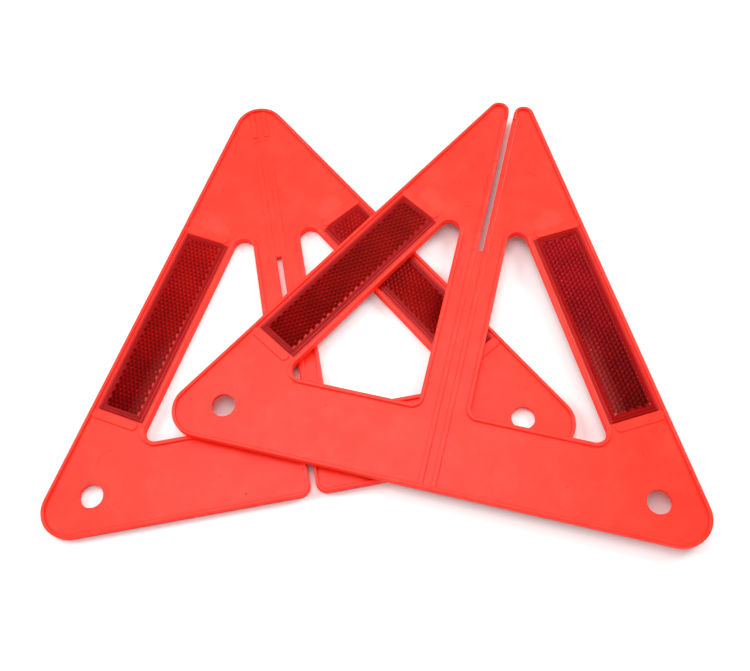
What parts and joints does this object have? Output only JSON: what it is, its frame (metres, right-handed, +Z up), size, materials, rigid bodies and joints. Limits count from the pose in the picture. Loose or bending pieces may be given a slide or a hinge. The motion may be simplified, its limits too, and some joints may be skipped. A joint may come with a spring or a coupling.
{
  "type": "warning triangle",
  "caption": "Two flat red plastic triangles with reflector strips that slot together crosswise into a standing road warning sign, shown apart and stacked flat.",
  "frame": {"origin": "on the ground under the middle of the bounding box of the two stacked panels", "axes": "+Z up, out of the panels' faces; +Y up the rear panel's centre line, from its base to its apex; +X to the right along the rear panel's base, towards the side the front panel lies on"},
  "size_m": [0.351, 0.3256, 0.0115],
  "materials": {
    "red_plastic": "bright orange-red moulded polypropylene, semi-matt, with a fine moulded texture",
    "reflector_red": "deep red clear acrylic over a honeycomb of moulded prisms, polished"
  },
  "bodies": {
    "rear_triangle": {"rear_panel": "red_plastic", "rear_left_reflector_upper": "reflector_red", "rear_left_reflector_lower": "reflector_red", "rear_right_reflector_upper": "reflector_red", "rear_right_reflector_lower": "reflector_red"},
    "front_triangle": {"front_panel": "red_plastic", "front_left_reflector_upper": "reflector_red", "front_left_reflector_lower": "reflector_red", "front_right_reflector_upper": "reflector_red", "front_right_reflector_lower": "reflector_red"}
  },
  "joints": [
    {"name": "front_panel_lift", "type": "slide", "parent": "rear_triangle", "child": "front_triangle", "axis": [0, 0, 1], "range_m": [0, 0.12]}
  ]
}
